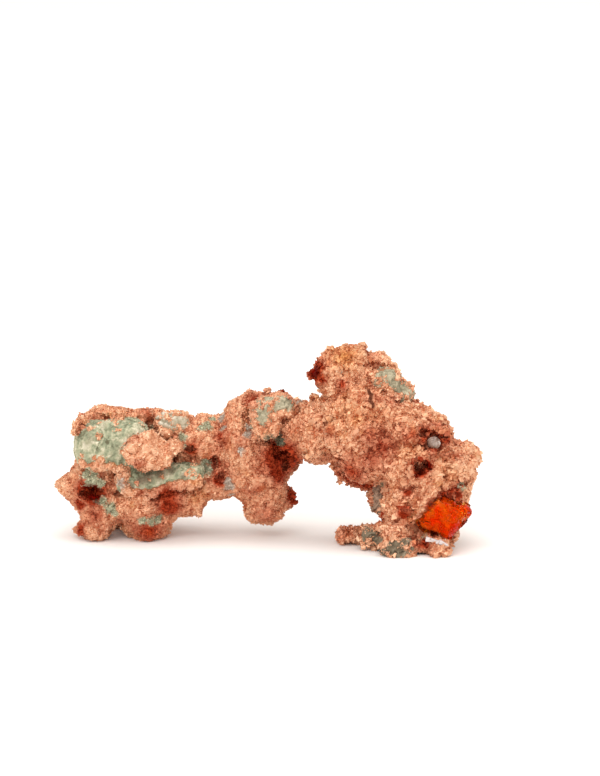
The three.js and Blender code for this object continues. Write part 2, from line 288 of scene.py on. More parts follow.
# %% Knobs
# across, up, deep, then the half sizes in mm: wide, deep, high
KNOBS = [
    # the curled flap
    (0.062, 0.61, 0.4, 0.5, 0.55, 0.5), (0.05, 0.575, 0.38, 0.36, 0.5, 0.5),
    (0.042, 0.54, 0.36, 0.28, 0.45, 0.42),
    # the ear on the tower
    (0.612, 0.838, 0.4, 0.42, 0.45, 0.38), (0.62, 0.866, 0.4, 0.45, 0.45, 0.35),
    (0.632, 0.88, 0.4, 0.45, 0.5, 0.4),
    # the tower's top
    (0.65, 0.94, 0.38, 0.6, 0.7, 0.4), (0.668, 0.948, 0.38, 0.6, 0.7, 0.33),
    (0.722, 0.932, 0.38, 0.55, 0.7, 0.33),
    # the second knob
    (0.77, 0.898, 0.42, 0.6, 0.6, 0.38), (0.787, 0.882, 0.42, 0.42, 0.5, 0.42),
    (0.752, 0.91, 0.42, 0.6, 0.6, 0.35),
    # the arch's underside
    (0.684, 0.3, 0.33, 0.5, 0.7, 0.42), (0.671, 0.275, 0.33, 0.22, 0.35, 0.45),
    (0.702, 0.31, 0.33, 0.7, 0.8, 0.4), (0.724, 0.305, 0.33, 0.6, 0.7, 0.4),
    (0.684, 0.295, 0.34, 0.35, 0.45, 0.38), (0.706, 0.285, 0.36, 0.45, 0.55, 0.4),
    (0.727, 0.278, 0.36, 0.42, 0.55, 0.42), (0.746, 0.285, 0.36, 0.4, 0.55, 0.4),
    # the middle lobe's top
    (0.533, 0.735, 0.5, 0.35, 0.4, 0.35), (0.498, 0.748, 0.5, 0.4, 0.45, 0.35),
    (0.46, 0.735, 0.5, 0.4, 0.45, 0.35),
    # the hanging drip
    (0.56, 0.205, 0.5, 0.5, 0.5, 0.5), (0.566, 0.185, 0.5, 0.4, 0.45, 0.3),
    (0.552, 0.25, 0.5, 0.45, 0.5, 0.4),
    # the left lobe's top and heel
    (0.153, 0.64, 0.45, 0.6, 0.55, 0.4), (0.05, 0.04, 0.5, 0.5, 0.55, 0.35),
    # under the raised leg
    (0.779, 0.05, 0.17, 0.9, 0.9, 0.45), (0.802, 0.045, 0.14, 0.9, 0.9, 0.45),
    (0.826, 0.035, 0.14, 0.9, 0.9, 0.5),
    # the leg's inner side
    (0.774, 0.209, 0.27, 0.35, 0.6, 0.8),
    # the lump that lies on the green rock
    (0.28, 0.46, 0.35, 0.75, 1.3, 0.75), (0.258, 0.4, 0.32, 0.75, 1.0, 0.6),
    (0.186, 0.455, 0.29, 0.8, 0.6, 0.85), (0.225, 0.515, 0.31, 0.8, 0.7, 0.5),
    (0.176, 0.407, 0.28, 0.55, 0.5, 0.45), (0.225, 0.38, 0.28, 0.8, 0.6, 0.4),
    # more of the arch's underside
    (0.655, 0.352, 0.34, 0.45, 0.7, 0.5), (0.664, 0.328, 0.34, 0.45, 0.8, 0.5),
    (0.68, 0.312, 0.34, 0.6, 0.8, 0.55), (0.697, 0.298, 0.34, 0.6, 0.8, 0.5),
    (0.716, 0.284, 0.36, 0.6, 0.7, 0.45), (0.735, 0.278, 0.36, 0.5, 0.6, 0.45),
    # round the pebble
    (0.893, 0.56, 0.21, 0.55, 0.6, 0.36), (0.892, 0.44, 0.17, 0.6, 0.6, 0.36),
    (0.868, 0.445, 0.2, 0.42, 0.5, 0.4), (0.918, 0.548, 0.21, 0.42, 0.5, 0.36),
    # the tower's corner, the ear's tip and the neck
    (0.648, 0.96, 0.38, 0.55, 0.7, 0.36), (0.642, 0.925, 0.38, 0.45, 0.6, 0.45),
    (0.601, 0.824, 0.4, 0.3, 0.4, 0.36), (0.615, 0.712, 0.42, 0.6, 0.6, 0.42),
    # the lowest edge of the arch
    (0.668, 0.292, 0.34, 0.4, 0.6, 0.45), (0.69, 0.278, 0.34, 0.5, 0.6, 0.42),
    (0.708, 0.272, 0.36, 0.5, 0.6, 0.4), (0.728, 0.268, 0.36, 0.5, 0.6, 0.4),
]
print(len(KNOBS), "knobs")

# %% [markdown]
# The deep hollows are cut before that, with round cutters, because a hollow that is only painted
# dark looks flat from the side.

# %% Hollows
# across, up, how far behind the skin in mm, then the half sizes in mm
HOLLOWS = [
    (0.083, 0.234, 0.5, 1.1, 1.0, 0.45), (0.066, 0.216, 0.4, 0.55, 0.8, 0.38),
    (0.897, 0.5, 0.3, 0.95, 0.9, 0.85), (0.868, 0.53, 0.3, 0.6, 0.7, 0.5),
    (0.925, 0.52, 0.3, 0.45, 0.6, 0.45), (0.863, 0.341, 0.6, 0.52, 1.2, 0.45),
    (0.88, 0.375, 0.6, 0.36, 1.1, 0.5), (0.53, 0.425, 0.4, 0.9, 0.9, 0.75),
    (0.548, 0.375, 0.5, 0.65, 0.9, 0.65), (0.515, 0.475, 0.3, 0.5, 0.7, 0.4),
    (0.387, 0.305, 0.3, 0.6, 1.0, 0.4), (0.372, 0.385, 0.4, 0.32, 0.9, 0.8),
    (0.318, 0.448, 0.3, 0.6, 0.6, 0.32), (0.821, 0.13, 0.2, 0.5, 0.5, 0.26),
    (0.788, 0.016, 0.2, 0.3, 0.5, 0.28), (0.254, 0.262, 0.2, 0.45, 0.6, 0.5),
    (0.634, 0.575, 0.2, 0.22, 0.6, 0.48), (0.128, 0.03, 0.2, 0.3, 0.8, 0.4),
    (0.766, 0.848, 0.2, 0.4, 0.5, 0.22), (0.081, 0.392, 0.1, 0.7, 0.5, 0.2),
    (0.153, 0.256, 0.3, 0.38, 0.8, 0.34), (0.74, 0.788, 0.1, 0.13, 0.7, 0.35),
    (0.739, 0.763, 0.1, 0.14, 1.0, 0.4), (0.745, 0.732, 0.1, 0.14, 1.0, 0.38),
    (0.743, 0.702, 0.1, 0.14, 0.9, 0.38), (0.752, 0.668, 0.1, 0.13, 0.7, 0.36),
]
print(len(HOLLOWS), "hollows")

# %% [markdown]
# The solid has its hollows cut with the boolean modifier, one egg-shaped cutter at a time. The
# knobs are then simply joined, since the remesh that follows melts whatever overlaps. Swollen
# copies of the held rocks are melted in too: the solids leave a narrow gap round each rock, and
# on the real nugget there is none, because the metal grew up against the stone. The remesh can
# leave loose crumbs where two skins nearly meet, so only the largest body is kept.

# %% Copper body
def ball(place, sizes):
    """A small egg shape with these half sizes in mm."""
    return added(bpy.ops.mesh.primitive_ico_sphere_add, subdivisions=2, radius=MM, location=place,
                 scale=sizes)


def join_into(piece, parts):
    make_active(piece)
    for part in parts:
        part.select_set(True)
    bpy.ops.object.join()


copper = copy_of("copper_mass", "copper_body")
for across, up, behind, *sizes in HOLLOWS:
    place, normal, _, _ = seen_at(solid_skins, across, up)
    cutter = ball(place - normal * behind * MM, sizes)
    apply_modifier(copper, "BOOLEAN", object=cutter, operation="DIFFERENCE", solver="EXACT")
    bpy.data.objects.remove(cutter)
join_into(copper, [ball(sight(across, up, deep), sizes) for across, up, deep, *sizes in KNOBS])

ROCKS = ["green_matrix_left", "quartz_cap_left", "matrix_band_middle", "matrix_upper_right",
         "matrix_leg_right", "matrix_foot_right"]
BEDDING = 0.40  # mm that a held body is swollen by, to close the gap round it
BODY_VOXEL = 0.162  # mm, as fine as one piece can be without growing too heavy
beds = [copy_of(node, "bed_" + node) for node in ROCKS + ["calcite_crystal"]]
for bed in beds:
    apply_modifier(bed, "DISPLACE", strength=BEDDING * MM, mid_level=0.0)
join_into(copper, beds)
apply_modifier(copper, "REMESH", mode="VOXEL", voxel_size=BODY_VOXEL * MM)
edit(bpy.ops.mesh.separate, type="LOOSE")
bodies = sorted(bpy.context.selected_objects, key=lambda body: len(body.data.vertices))
copper = bodies.pop()
for crumb in bodies:
    bpy.data.objects.remove(crumb)
copper.name = copper.data.name = "copper_body"
print("copper body:", triangles(copper), "triangles, without", len(bodies), "loose crumbs")

# %% [markdown]
# ## Where the copper changes
#
# The copper isn't the same all over. It is fine and sandy on the left, and crumpled like foil
# on the right. Sheltered parts keep a thin red skin of cuprite, and the top is tinted gold. The
# red is also painted shade, laid in hollows and under ledges.
# These changes follow the shape, so no even pattern can give them. They are painted as soft
# round spots into attributes of the mesh, which relief, crystals and colours then read.

# %% Spots of red, gold and pale metal
# across, up, radius in mm, strength; a knob also says how deep, before its radius
# red: cuprite, and also painted shade in hollows and under ledges
RED_AND_SHADE_SPOTS = [
    (0.535, 0.41, 1.8, 0.9), (0.554, 0.25, 1.0, 0.8), (0.528, 0.33, 1.1, 0.7), (0.568, 0.2, 0.8, 0.8),
    (0.388, 0.3, 0.7, 1.0), (0.372, 0.39, 0.6, 1.0), (0.476, 0.69, 1.1, 0.5), (0.263, 0.22, 1.4, 0.6),
    (0.318, 0.448, 0.7, 0.7), (0.222, 0.03, 1.6, 0.5), (0.056, 0.04, 0.8, 0.6),
    (0.054, 0.168, 0.6, 0.7), (0.092, 0.122, 0.9, 0.4), (0.083, 0.236, 1.1, 1.5),
    (0.872, 0.524, 0.8, 0.8), (0.92, 0.52, 0.8, 0.8), (0.899, 0.463, 0.7, 0.8),
    (0.897, 0.55, 0.7, 0.6), (0.863, 0.341, 0.5, 1.9), (0.878, 0.372, 0.45, 1.8),
    (0.748, 0.52, 1.2, 0.36), (0.768, 0.465, 1.3, 0.42), (0.748, 0.4, 1.2, 0.38),
    (0.7, 0.336, 1.4, 0.5), (0.731, 0.28, 0.7, 0.8), (0.696, 0.292, 0.5, 0.6),
    (0.268, 0.155, 1.1, 0.7), (0.676, 0.778, 0.5, 0.6), (0.627, 0.808, 0.5, 0.7),
    (0.821, 0.127, 0.5, 1.0), (0.788, 0.014, 0.3, 1.0), (0.954, 0.224, 0.5, 0.9),
    (0.766, 0.848, 0.3, 1.0), (0.869, -0.022, 0.6, 0.9), (0.772, 0.117, 0.4, 0.6),
    (0.39, 0.52, 0.5, 0.5), (0.44, 0.5, 1.0, 0.2), (0.5, 0.11, 1.4, 0.3), (0.914, 0.224, 0.6, 0.6),
    (0.933, 0.244, 0.6, 0.65), (0.95, 0.265, 0.6, 0.7), (0.901, 0.193, 0.5, 0.5),
    (0.831, 0.229, 0.4, 0.7),
]
# red on knobs: cuprite, and painted shade under the arch
RED_AND_SHADE_KNOBS = [
    (0.612, 0.845, 0.36, 0.9, 1.3), (0.624, 0.87, 0.31, 0.5, 0.9), (0.536, 0.74, 0.5, 0.8, 0.9),
    (0.568, 0.205, 0.48, 0.9, 0.85), (0.69, 0.302, 0.32, 0.7, 0.7), (0.716, 0.284, 0.34, 0.7, 0.8),
    (0.735, 0.275, 0.34, 0.6, 0.8), (0.664, 0.322, 0.32, 0.5, 0.6),
]
GOLD_SPOTS = [
    (0.681, 0.934, 1.3, 0.9), (0.712, 0.6, 0.7, 0.6), (0.66, 0.955, 0.8, 0.5), (0.93, 0.33, 1.2, 0.3),
    (0.84, 0.448, 1.3, 0.35), (0.69, 0.64, 1.6, 0.3), (0.75, 0.62, 1.2, 0.3), (0.33, 0.2, 0.6, 0.5),
]
PALE_SPOTS = [
    (0.228, 0.448, 2.2, 0.9), (0.937, 0.357, 1.5, 0.8), (0.84, 0.448, 1.2, 0.6),
    (0.943, 0.474, 1.2, 0.6), (0.64, 0.64, 1.5, 0.4), (0.2, 0.2, 1.2, 0.4), (0.7, 0.88, 1.4, 0.4),
    (0.69, 0.56, 1.5, 0.3), (0.44, 0.33, 1.0, 0.3), (0.8, 0.1, 1.0, 0.3),
]
print(len(RED_AND_SHADE_SPOTS) + len(RED_AND_SHADE_KNOBS), "red,", len(GOLD_SPOTS), "gold and", len(PALE_SPOTS), "pale spots")

# %% [markdown]
# Small scraps of rock, too thin to be bodies of their own, are smeared and crumbled over the
# metal. Made as loose chips they look like pebbles glued on. Painted on the same crystals that
# the metal has, they keep its texture and take ragged edges.

# %% Smears of crumbled rock
# across, up, radius in mm, strength
GREEN_DUST = [
    (0.083, 0.302, 0.9, 1), (0.07, 0.32, 0.6, 1), (0.108, 0.28, 0.6, 1), (0.127, 0.152, 0.7, 1),
    (0.135, 0.13, 0.5, 1), (0.11, 0.19, 0.5, 0.9), (0.205, 0.092, 0.5, 1), (0.224, 0.086, 0.6, 1),
    (0.242, 0.09, 0.5, 1), (0.36, 0.575, 0.6, 1), (0.345, 0.56, 0.5, 0.9), (0.301, 0.509, 0.6, 0.9),
    (0.305, 0.47, 0.4, 0.8), (0.968, 0.27, 0.5, 0.9), (0.2, 0.595, 0.6, 1), (0.223, 0.56, 0.5, 0.9),
    (0.355, 0.387, 0.7, 1), (0.358, 0.336, 0.7, 1), (0.35, 0.306, 0.6, 1), (0.372, 0.61, 0.4, 0.9),
    (0.185, 0.61, 0.5, 0.9), (0.82, 0.02, 0.5, 0.8), (0.87, 0.01, 0.5, 0.8),
]
PALE_DUST = [
    (0.409, 0.255, 0.6, 1), (0.405, 0.29, 0.5, 0.9), (0.415, 0.225, 0.4, 0.9),
    (0.436, 0.443, 0.5, 0.9), (0.396, 0.56, 0.4, 1), (0.393, 0.611, 0.5, 1), (0.163, 0.28, 0.7, 1),
    (0.17, 0.25, 0.4, 0.8), (0.459, 0.56, 0.6, 1), (0.452, 0.53, 0.5, 1), (0.575, 0.69, 0.4, 0.9),
    (0.67, 0.858, 0.5, 0.55), (0.29, 0.64, 0.5, 0.8),
]
DARK_DUST = [
    (0.153, 0.256, 0.45, 0.9), (0.502, 0.54, 0.6, 1), (0.521, 0.524, 0.7, 1), (0.533, 0.494, 0.6, 1),
    (0.497, 0.51, 0.5, 0.9), (0.681, 0.864, 0.5, 0.5), (0.776, 0.275, 0.4, 0.9),
    (0.305, 0.54, 0.4, 0.9), (0.095, 0.18, 0.4, 0.8), (0.178, 0.33, 0.4, 0.9), (0.64, 0.54, 0.4, 0.5),
    (0.69, 0.48, 0.4, 0.4),
]
print(len(GREEN_DUST), "green,", len(PALE_DUST), "pale and", len(DARK_DUST), "dark smears")

# %% [markdown]
# To paint, each spot is found on the skin by its line of sight. A vertex takes the strongest
# spot that reaches it, which fades away from the middle like a soft brush.

# %% Paint the attributes
# the narrow crack: across, up
CRACK = [(0.740, 0.800), (0.739, 0.763), (0.745, 0.732), (0.743, 0.702), (0.752, 0.660)]
CRACK_RADIUS = 0.16  # mm
HOLLOW_BOTTOM = 0.45  # how much of a spot's red reaches the bottom of a hollow
COARSE_FROM, COARSE_OVER = 1.0, 4.0  # mm to the right of the middle, and how wide the change is


def places_of(piece):
    where = np.empty(len(piece.data.vertices) * 3, np.float32)
    piece.data.vertices.foreach_get("co", where)
    return where.reshape(-1, 3)


def store(piece, name, values):
    layer = piece.data.attributes.new(name, "FLOAT", "POINT")
    layer.data.foreach_set("value", np.asarray(values, np.float32))


def soft_spots(piece, spots):
    """How strongly each vertex is touched by soft round spots: place, radius in mm, strength."""
    where = places_of(piece)
    total = np.zeros(len(where), np.float32)
    for place, radius, strength in spots:
        far = ((where - np.array(place)) ** 2).sum(1) / (radius * MM) ** 2
        total = np.maximum(total, strength * np.exp(-far))
    return total


def on_skin(spots, trees=solid_skins):
    """The same spots, with their places on the skin that is in view."""
    found = [(seen_at(trees, across, up), *brush) for across, up, *brush in spots]
    return [(hit[0], *brush) for hit, *brush in found if hit]


# a hollow gets cuprite red and painted shade at its rim, and weaker at its bottom, which is dark enough
# already
red_and_shade_places = on_skin(RED_AND_SHADE_SPOTS)
for place, radius, strength in on_skin(RED_AND_SHADE_SPOTS, skins(copper)):
    red_and_shade_places.append((place, radius, HOLLOW_BOTTOM * strength))
for across, up, deep, radius, strength in RED_AND_SHADE_KNOBS:
    red_and_shade_places.append((sight(across, up, deep), radius, strength))
store(copper, "red", soft_spots(copper, red_and_shade_places))
for name, spots in (("gold", GOLD_SPOTS), ("pale", PALE_SPOTS), ("green_dust", GREEN_DUST),
                    ("pale_dust", PALE_DUST), ("dark_dust", DARK_DUST)):
    store(copper, name, soft_spots(copper, on_skin(spots)))
body_places = places_of(copper)
blend = np.clip((body_places[:, 0] - COARSE_FROM * MM) / (COARSE_OVER * MM), 0, 1)
store(copper, "coarse", blend * blend * (3 - 2 * blend))
crack_spots = []
for start, end in zip(CRACK, CRACK[1:]):
    for part in (0, 0.25, 0.5, 0.75):
        across, up = np.array(start) * (1 - part) + np.array(end) * part
        place = seen_at(solid_skins, across, up)[0]
        crack_spots += [(place + Vector((0, deep * MM, 0)), CRACK_RADIUS, 1.0) for deep in (-0.3, 0, 0.3)]
store(copper, "crack", soft_spots(copper, crack_spots))
print("painted", len(body_places), "vertices:", [layer.name for layer in copper.data.attributes])

# %% [markdown]
# ## Where rock shows through
#
# The body was fused with swollen rocks, so it covers them all. Where a rock should show, the
# metal sinks below it, and its edge is frayed by noise, as a grown crust ends. In some places
# the metal has crept over the rock, and there it stays and stands a little proud.

# %% Beds of the held bodies
# where the metal has crept over the rock: a radius in mm, and the places across and up
COVERS = {
    0.35: [(0.287, 0.64), (0.309, 0.635)],
    0.4: [(0.761, 0.803), (0.778, 0.765), (0.79, 0.735), (0.518, 0.616)],
    0.5: [(0.086, 0.362), (0.109, 0.357), (0.154, 0.351), (0.133, 0.26), (0.223, 0.367),
          (0.476, 0.509), (0.767, -0.042), (0.747, 0.843), (0.801, 0.712), (0.467, 0.676),
          (0.467, 0.631), (0.469, 0.585), (0.478, 0.545), (0.205, 0.35), (0.214, 0.616), (0.223, 0.58),
          (0.235, 0.545)],
    0.55: [(0.062, 0.372)],
    0.6: [(0.057, 0.346), (0.093, 0.331), (0.128, 0.326), (0.164, 0.336), (0.039, 0.382),
          (0.133, 0.357), (0.128, 0.306), (0.176, 0.448), (0.266, 0.407), (0.554, 0.54),
          (0.781, 0.035), (0.824, 0.025), (0.523, 0.575), (0.514, 0.54), (0.497, 0.529),
          (0.192, 0.222), (0.213, 0.222), (0.234, 0.232), (0.253, 0.247), (0.272, 0.263),
          (0.294, 0.27), (0.317, 0.27), (0.338, 0.285), (0.147, 0.346), (0.163, 0.25), (0.173, 0.224)],
    0.7: [(0.172, 0.44), (0.193, 0.499), (0.195, 0.397), (0.223, 0.529), (0.259, 0.529),
          (0.285, 0.458), (0.497, 0.479), (0.54, 0.479), (0.803, 0.009), (0.537, 0.616),
          (0.554, 0.621), (0.544, 0.575), (0.152, 0.3)],
    0.8: [(0.518, 0.463)],
    0.9: [(0.223, 0.438)],
}
CREPT = 0.20  # mm that such metal stands proud
BED_OVERLAP = 0.25  # the most that the metal may sink, in mm, and still carry a crust


def bedded(piece, trees, depth, reach, fray=1.0):
    """How deep the metal sinks under these bodies, in mm, with an edge that is frayed by noise."""
    sunk = []
    for place in places_of(piece):
        place = Vector(place)
        gap = min(tree.find_nearest(place)[3] for tree in trees) / MM
        gap += fray * (0.22 * noise.noise(place / (0.9 * MM)) + 0.12 * noise.noise(place / (0.4 * MM)))
        sunk.append(depth * min(max((reach - gap) / 0.15, 0), 1))
    return np.array(sunk)


rock_trees = skins(*[nodes[node] for node in ROCKS])
green_trees = skins(nodes["green_matrix_left"])
calcite_trees = skins(nodes["calcite_crystal"])
sunk_beds = bedded(copper, rock_trees, BEDDING + 0.05, BEDDING + 0.08)
sunk_beds = np.maximum(sunk_beds, bedded(copper, green_trees, BEDDING + 0.20, BEDDING + 0.14))
sunk_beds = np.maximum(sunk_beds, bedded(copper, calcite_trees, BEDDING + 1.1, BEDDING + 0.10, 0.3))
crept = [(across, up, radius, 1.0) for radius, places in COVERS.items() for across, up in places]
covered = np.clip(2.6 * soft_spots(copper, on_skin(crept, skins(copper))) - 0.7, 0, 1)
store(copper, "sunk", sunk_beds * (1 - covered) - CREPT * covered)
print("sunk vertices:", int((sunk_beds > 0.1).sum()))

# %% [markdown]
# ## Relief
#
# Grown metal is lumps on lumps: crumpled folds of 2 mm, knobs under 1 mm, and crystal faces of
# a third of a millimetre that tilt every way. A Voronoi pattern gives all three. The distance
# inside a cell makes a dome with a sharp crease round it, and the cell's random colour tilts a
# flat face. The same recipe with other numbers serves the rock. Sculpting could make it too, but
# not thousands of faces alike, and a bump in the material would leave the outline smooth.

# %% Relief recipe
def geometry_tree(name):
    """A new geometry tree, a short way to add nodes to it, and what comes in."""
    tree = bpy.data.node_groups.new(name, "GeometryNodeTree")
    tree.interface.new_socket("Geometry", in_out="INPUT", socket_type="NodeSocketGeometry")
    tree.interface.new_socket("Geometry", in_out="OUTPUT", socket_type="NodeSocketGeometry")
    return tree, partial(add_node, tree), tree.nodes.new("NodeGroupInput").outputs[0]


def finish_tree(tree, piece, geometry, place, low):
    """Lifts what is below the floor to this height in metres, and applies the tree to the piece."""
    parts = add_node(tree, "ShaderNodeSeparateXYZ", {0: place})
    above = add_node(tree, "ShaderNodeMath", {0: parts.outputs["Z"], 1: low}, "MAXIMUM")
    held = add_node(tree, "ShaderNodeCombineXYZ", {0: parts.outputs["X"], 1: parts.outputs["Y"], 2: above})
    result = add_node(tree, "GeometryNodeSetPosition", {"Geometry": geometry, "Position": held})
    add_node(tree, "NodeGroupOutput", {0: result})
    apply_modifier(piece, "NODES", node_group=tree)
    print(piece.name, triangles(piece), "triangles")


def grow_relief(piece, swell, layers, grit=()):
    """Moves the skin out by swell and into lumps, all in mm. A layer is a cell size, the height of
    its domes on fine and on coarse metal, and its face step. Grit is a grain size and a height."""
    tree, add, geometry = geometry_tree(piece.name + "_relief")
    place = add("GeometryNodeInputPosition")
    normal = add("GeometryNodeInputNormal")
    coarse = add("GeometryNodeInputNamedAttribute", {"Name": "coarse"})
    half = (0.5, 0.5, 0.5)
    total = swell * MM
    for cell, fine, rough, step in layers:
        wander = add("ShaderNodeTexNoise", {"Vector": place, "Scale": 0.7 / (cell * MM), "Detail": 1.0})
        centred = add("ShaderNodeVectorMath", {0: wander.outputs["Color"], 1: half}, "SUBTRACT")
        moved = add("ShaderNodeVectorMath", {0: centred, 1: (cell * MM * 1.3,) * 3, 2: place},
                    "MULTIPLY_ADD")
        cells = add("ShaderNodeTexVoronoi", {"Vector": moved, "Scale": 1 / (cell * MM)})
        square = add("ShaderNodeMath", {0: cells.outputs["Distance"], 1: 2.0}, "POWER")
        dome = add("ShaderNodeMath", {0: square, 1: -2.0, 2: 0.5}, "MULTIPLY_ADD")
        height = add("ShaderNodeMath", {0: coarse, 1: (rough - fine) * MM, 2: fine * MM}, "MULTIPLY_ADD")
        total = add("ShaderNodeMath", {0: dome, 1: height, 2: total}, "MULTIPLY_ADD")
        tilt = add("ShaderNodeVectorMath", {0: cells.outputs["Color"], 1: half}, "SUBTRACT")
        across = add("ShaderNodeVectorMath", {0: moved, 1: cells.outputs["Position"]}, "SUBTRACT")
        face = add("ShaderNodeVectorMath", {0: tilt, 1: across}, "DOT_PRODUCT")
        total = add("ShaderNodeMath", {0: face.outputs["Value"], 1: step / cell * 2.5, 2: total},
                    "MULTIPLY_ADD")
    for size, height in grit:
        grains = add("ShaderNodeTexNoise", {"Vector": place, "Scale": 0.5 / (size * MM), "Detail": 2.0,
                                            "Roughness": 0.6})
        centred = add("ShaderNodeMath", {0: grains, 1: 0.5}, "SUBTRACT")
        total = add("ShaderNodeMath", {0: centred, 1: height * 2.5 * MM, 2: total}, "MULTIPLY_ADD")
    # the metal sinks smoothly under a held body
    sunk = add("GeometryNodeInputNamedAttribute", {"Name": "sunk"})
    covered = add("ShaderNodeMapRange", {"Value": sunk, "From Max": 0.35, "To Min": 1.0, "To Max": 0.0})
    kept = add("ShaderNodeMath", {0: total, 1: covered}, "MULTIPLY")
    total = add("ShaderNodeMath", {0: sunk, 1: -MM, 2: kept}, "MULTIPLY_ADD")
    push = add("ShaderNodeVectorMath", {0: normal, "Scale": total}, "SCALE")
    result = add("GeometryNodeSetPosition", {"Geometry": geometry, "Offset": push})
    # how far each point stands out of the skin round it: close by, and over a wider patch
    for name, reach in (("stand", 5), ("rise", 40)):
        spread = add("GeometryNodeBlurAttribute", {"Value": place, "Iterations": reach},
                     data_type="FLOAT_VECTOR")
        out = add("ShaderNodeVectorMath", {0: place, 1: spread}, "SUBTRACT")
        height = add("ShaderNodeVectorMath", {0: out, 1: normal}, "DOT_PRODUCT")
        result = add("GeometryNodeStoreNamedAttribute",
                     {"Geometry": result, "Name": name, "Value": height.outputs["Value"]})
    finish_tree(tree, piece, result, place, 0.02 * MM)


grow_relief(copper, 0.0, [(2.1, 0.18, 0.38, 0.0), (0.95, 0.16, 0.30, 0.10), (0.36, 0.05, 0.09, 0.10)])

# %% [markdown]
# ## The rock it still holds
#
# The scraps of rock are a soft, green, altered basalt with a broken, sandy face. The solids
# leave a narrow gap round each, so the visible rock swells a little to sit tight in the metal.
# The remeshed solid is smoothed first, so that none of its facets show. Its relief then has
# wide, flat broken faces and a fine grit. The large green block is the flattest, and painted
# brown shade darkens its hollows and shadowed parts, in soft spots, as the red was on the copper.

# %% Rock
ROCK_VOXEL = 0.10  # mm
ROCK_LAYERS = [(2.2, 0.0, 0.0, 0.10), (0.7, 0.0, 0.0, 0.05)]
ROCK_GRIT = [(1.0, 0.10), (0.40, 0.12), (0.18, 0.08)]
FLAT_LAYERS = [(2.2, 0.0, 0.0, 0.08), (0.7, 0.0, 0.0, 0.03)]
FLAT_GRIT = [(1.0, 0.04), (0.40, 0.06), (0.18, 0.07)]


def held_rock(node, name, swell, layers=ROCK_LAYERS, grit=ROCK_GRIT):
    rock = even_copy(node, name, ROCK_VOXEL, smooth=40, swell=swell)
    grow_relief(rock, 0.0, layers, grit)
    rock.data.shade_smooth()
    return rock


green_rock = held_rock("green_matrix_left", "green_rock", 0.25, FLAT_LAYERS, FLAT_GRIT)
band_rock = held_rock("matrix_band_middle", "grey_band_rock", 0.26)
top_rock = held_rock("matrix_upper_right", "grey_top_rock", 0.24)
leg_rock = held_rock("matrix_leg_right", "brown_leg_rock", 0.20)
foot_rock = held_rock("matrix_foot_right", "grey_foot_rock", 0.20)
stones = [green_rock, band_rock, top_rock, leg_rock, foot_rock]
# painted brown shade in the hollows and shadowed parts of the green rock: across, up, radius in mm,
# strength
BROWN_SHADE_SPOTS = [
    (0.216, 0.306, 0.7, 1.0), (0.199, 0.295, 0.5, 0.9), (0.246, 0.326, 0.6, 0.9),
    (0.17, 0.26, 0.6, 1.0), (0.272, 0.345, 0.5, 0.8), (0.353, 0.346, 0.4, 0.6),
    (0.077, 0.514, 0.7, 0.4), (0.048, 0.397, 0.5, 0.6), (0.12, 0.56, 0.6, 0.3), (0.3, 0.31, 0.4, 0.6),
]
store(green_rock, "soil", soft_spots(green_rock, on_skin(BROWN_SHADE_SPOTS, skins(green_rock))))
quartz_cap = held_rock("quartz_cap_left", "quartz_cap", 0.18, [(1.0, 0.0, 0.0, 0.2)],
                       [(0.8, 0.15), (0.3, 0.06)])

# %% [markdown]
# ## Calcite and quartz
#
# A clear calcite crystal is set in the leg. Copper grew inside it before it was sealed, and
# that clean metal is what glows through. So it is two pieces: the crystal, and a leaf of copper
# just under its skin. Solid colour alone would look painted, because the depth would be missing.

# %% Calcite crystal and the leaf in it
calcite = even_copy("calcite_crystal", "calcite", voxel=0.1, smooth=20)
grow_relief(calcite, 0.30, [(1.3, 0.0, 0.0, 0.30), (0.5, 0.0, 0.0, 0.10)], [(0.5, 0.05)])
leaf = even_copy("calcite_crystal", "sealed_copper", voxel=0.1, swell=-0.12)
grow_relief(leaf, 0.0, [(0.8, 0.12, 0.12, 0.15), (0.35, 0.06, 0.06, 0.08)])

# %% [markdown]
# Where the crystal has split along its cleavage, a few thin white splinters stand out: cubes
# that are stretched, tapered and bevelled.

# %% White splinters
# across, up, then long, high and thick in mm, and the turn in degrees
SPLINTERS = [
    (0.893, -0.018, 1.3, 0.42, 0.35, 12), (0.917, -0.042, 0.85, 0.4, 0.35, 24),
    (0.905, -0.03, 0.6, 0.26, 0.3, -35),
]
splinters = []
for across, up, long, high, thick, turn in SPLINTERS:
    place, normal, _, _ = seen_at(solid_skins, across, up)
    splinter = added(bpy.ops.mesh.primitive_cube_add, size=MM, location=place + normal * 0.25 * MM,
                     rotation=(0.2, math.radians(turn), 0.1), scale=(long, thick, high))
    for corner in splinter.data.vertices:
        if corner.co.x > 0:
            corner.co.y *= 0.4
            corner.co.z *= 0.4
    edit(bpy.ops.mesh.bevel, offset=0.06 * MM, offset_type="ABSOLUTE", segments=1)
    splinters.append(splinter)
join_into(splinters[0], splinters[1:])
splinters = splinters[0]
splinters.name = splinters.data.name = "calcite_splinters"
bpy.ops.object.transform_apply(location=True, rotation=True, scale=True)
print("splinters:", triangles(splinters), "triangles")

# %% [markdown]
# The quartz pebble is smooth and cloudy, so it needs only to lose its facets.

# %% Quartz pebble
bead = even_copy("quartz_bead", "quartz_pebble", voxel=0.07, smooth=12)
grow_relief(bead, 0.04, [(0.6, 0.05, 0.05, 0.03)])
bead.data.shade_smooth()

# %% [markdown]
# ## Crystals
#
# A lens shows copper of this kind as a crust of tiny crystals, blunt cubes and bent flakes of a
# quarter of a millimetre. Modelling one and scattering thousands is what geometry nodes do
# best: points spread evenly over the skin, a crystal on each, turned and sized at random, and
# then all of it made into real mesh.

